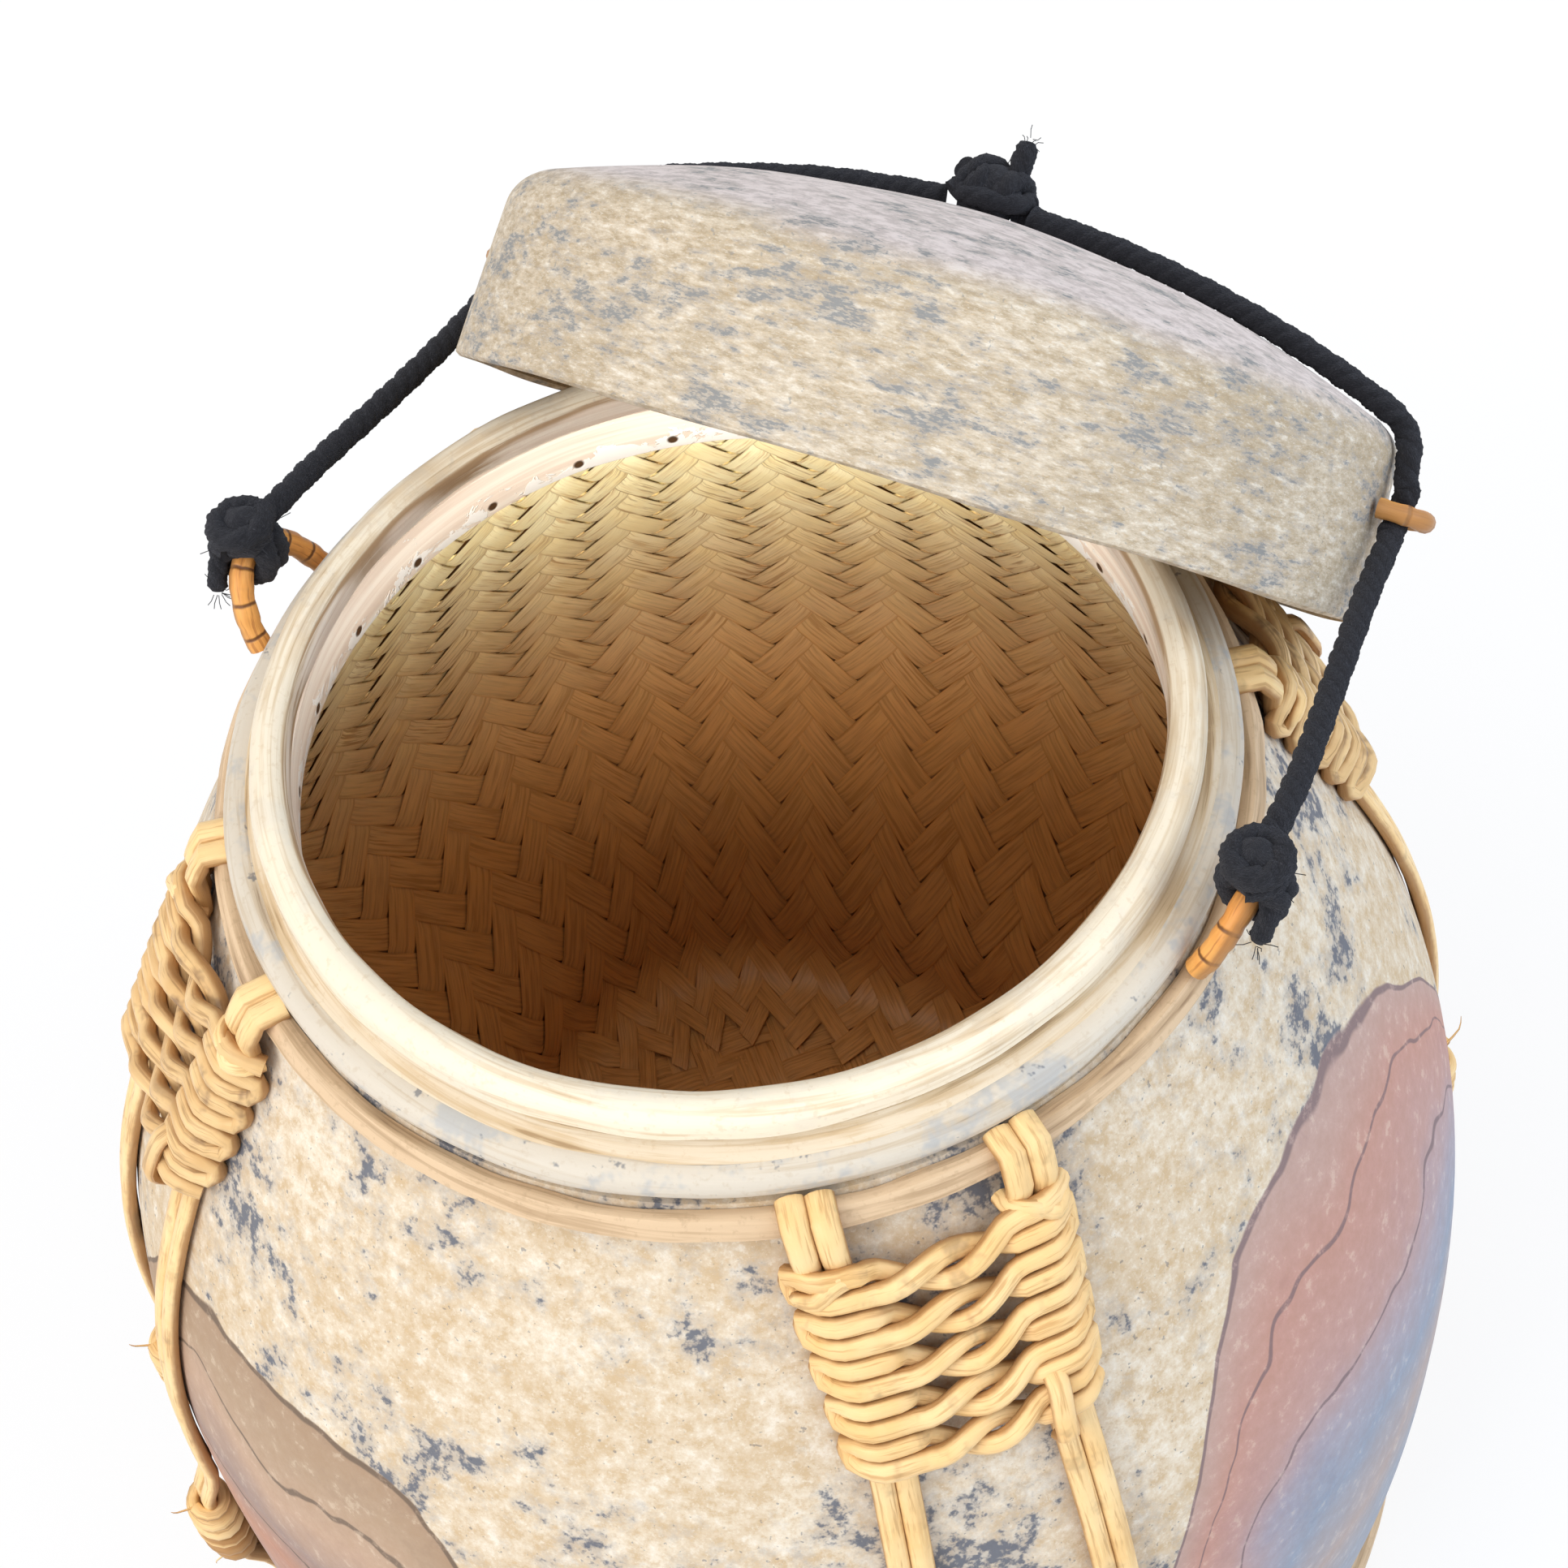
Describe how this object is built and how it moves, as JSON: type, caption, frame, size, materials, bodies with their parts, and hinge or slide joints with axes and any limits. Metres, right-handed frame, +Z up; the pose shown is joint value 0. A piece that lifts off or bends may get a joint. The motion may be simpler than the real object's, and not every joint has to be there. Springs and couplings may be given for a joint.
{
  "type": "bamboo rice container",
  "caption": "Bulging lidded bamboo rice container: plaited basket in a papered shell, split-cane harness with woven pads, and a lid tipped open on a black cord.",
  "frame": {"origin": "centre of the base board's flat underside, on the pot's axis at floor level", "axes": "+Z up along the pot's axis, +X towards the right-hand cord lug, +Y towards the side where the open lid hangs"},
  "size_m": [0.246, 0.2597, 0.2982],
  "materials": {
    "papered_shell": "matt painted paper, cream and ochre with indigo blotches",
    "lid_paint": "matt painted paper, finely mottled",
    "rim_paint": "cream paint over bent bamboo, worn",
    "hoop_wood": "smooth pinkish bamboo, chipped white paint",
    "plaited_bamboo": "split bamboo strips, satin",
    "brown_cane": "brown stained cane, matt",
    "pale_cane": "split rattan, satin",
    "orange_cane": "round rattan, satin",
    "black_cord": "twisted cotton cord, matt",
    "base_wood": "plain bare wood"
  },
  "bodies": {
    "pot": {"outer_shell": "papered_shell", "inner_basket": "plaited_bamboo", "base_board": "base_wood", "floor_battens": "base_wood", "foot_hoop": "brown_cane", "top_rim": "rim_paint", "inner_rim_hoop": "hoop_wood", "collar_hoop": "rim_paint", "flange_bead": "rim_paint", "neck_ring": "brown_cane", "pad_back_right": "pale_cane", "pad_front_right": "pale_cane", "pad_front_left": "pale_cane", "pad_back_left": "pale_cane", "strap_back_right_left": "pale_cane", "strap_back_right_right": "pale_cane", "strap_front_right_left": "pale_cane", "strap_front_right_right": "pale_cane", "strap_front_left_left": "pale_cane", "strap_front_left_right": "pale_cane", "strap_back_left_left": "pale_cane", "strap_back_left_right": "pale_cane", "binding_back_right_left": "pale_cane", "binding_back_right_right": "pale_cane", "binding_front_right_left": "pale_cane", "binding_front_right_right": "pale_cane", "binding_front_left_left": "pale_cane", "binding_front_left_right": "pale_cane", "binding_back_left_left": "pale_cane", "binding_back_left_right": "pale_cane", "lug_loop_right": "orange_cane", "lug_loop_left": "orange_cane", "lug_knot_right": "black_cord", "lug_knot_left": "black_cord"},
    "cord_legs": {"cord_leg_right": "black_cord", "cord_leg_left": "black_cord"},
    "cord_runs": {"cord_run_right": "black_cord", "cord_run_left": "black_cord"},
    "lid": {"lid_wall": "lid_paint", "lid_shoulder": "lid_paint", "lid_crown": "lid_paint", "lid_lining": "plaited_bamboo", "lid_inner_hoop": "hoop_wood", "lid_loop_right": "orange_cane", "lid_loop_left": "orange_cane", "lid_cord_right": "black_cord", "lid_cord_left": "black_cord", "lid_cord_knot": "black_cord"}
  },
  "joints": [
    {"name": "cord_swing", "type": "hinge", "parent": "pot", "child": "cord_legs", "pos_m": [0, 0, 0.2416], "axis": [1, 0, 0], "range_deg": [0, 97.97], "deforming": ["cord_leg_right", "cord_leg_left"]},
    {"name": "lid_run", "type": "slide", "parent": "cord_legs", "child": "cord_runs", "axis": [0, 0.9903, -0.1388], "range_m": [-0.07177, 0]},
    {"name": "lid_tilt", "type": "hinge", "parent": "cord_runs", "child": "lid", "pos_m": [0, 0.08059, 0.23031], "axis": [1, 0, 0], "range_deg": [-45.48, 0]}
  ],
  "couplings": [
    {"joint": "lid_run", "follows": "cord_swing", "m_per_rad": -0.041972},
    {"joint": "lid_tilt", "follows": "cord_swing", "ratio": -0.46417}
  ]
}
